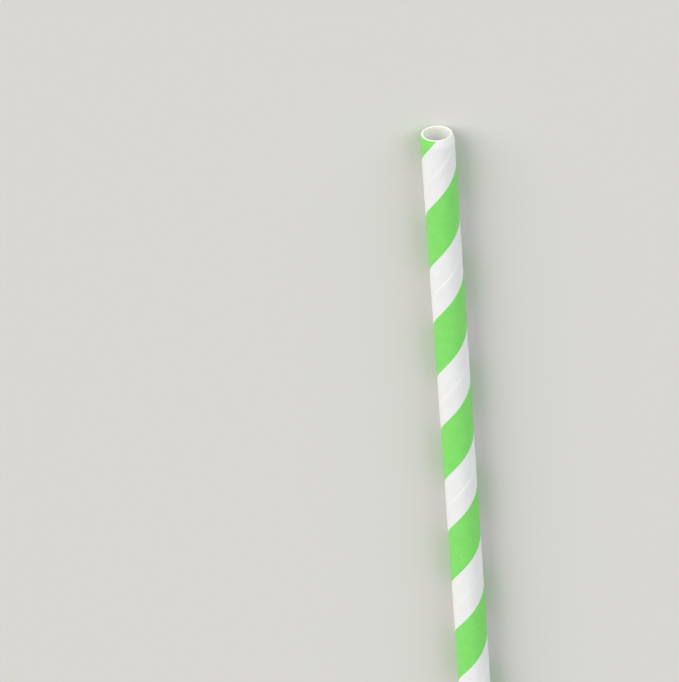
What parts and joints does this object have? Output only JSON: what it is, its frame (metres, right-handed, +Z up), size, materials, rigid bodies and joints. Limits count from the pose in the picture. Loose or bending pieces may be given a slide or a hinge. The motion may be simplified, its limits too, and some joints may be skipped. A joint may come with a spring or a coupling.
{
  "type": "paper drinking straw",
  "caption": "Straight, spirally wound paper drinking straw with green and white spiral stripes, open at both ends, lying on its side.",
  "frame": {"origin": "on the surface the straw lies on, under the middle of its length", "axes": "+X along the straw, towards the mouth that the picture shows; +Z up; +Y across the straw"},
  "size_m": [0.197, 0.006, 0.0059],
  "materials": {
    "printed_paper": "satin paper printed with a right-handed spiral of even green and white bands, one of each a turn; white inside and at the cut ends"
  },
  "bodies": {
    "root": {"straw_tube": "printed_paper"}
  },
  "joints": []
}
